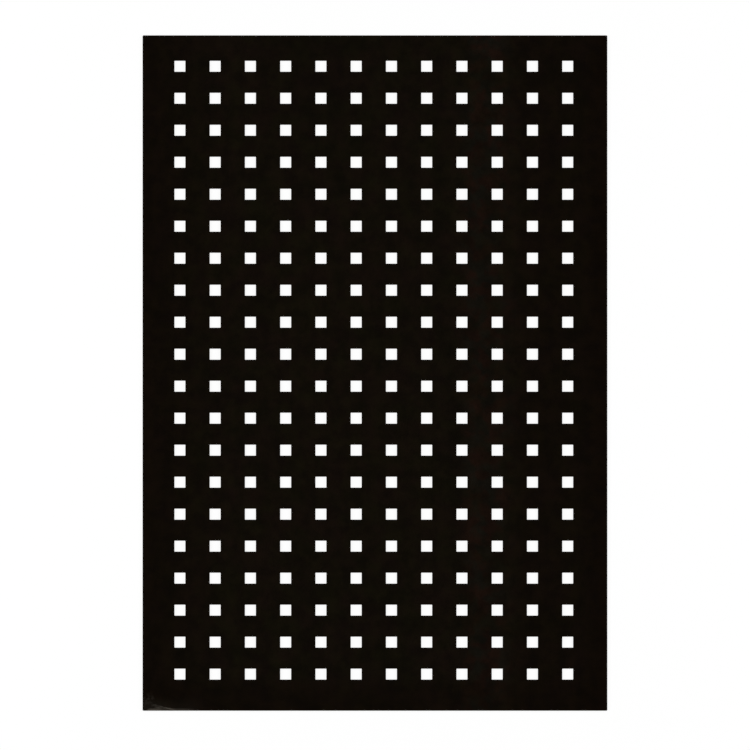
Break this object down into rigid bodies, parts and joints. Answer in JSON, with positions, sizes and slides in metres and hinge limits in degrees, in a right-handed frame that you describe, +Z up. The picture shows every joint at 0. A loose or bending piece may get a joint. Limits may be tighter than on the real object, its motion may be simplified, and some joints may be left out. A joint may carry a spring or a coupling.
{
  "type": "pegboard",
  "caption": "Flat black-coated steel sheet punched all over with a regular grid of square holes, hung on a wall to hold hooks and tool holders.",
  "frame": {"origin": "middle of the sheet on its underside, which is the back face", "axes": "+Z up, out of the front face, as the sheet lies on its back; +Y along the length to the edge that is at the top in the picture; +X along the width, to the right in the picture"},
  "size_m": [0.406, 0.59, 0.0015],
  "materials": {
    "black_coat": "satin"
  },
  "bodies": {
    "root": {"perforated_sheet": "black_coat"}
  },
  "joints": []
}
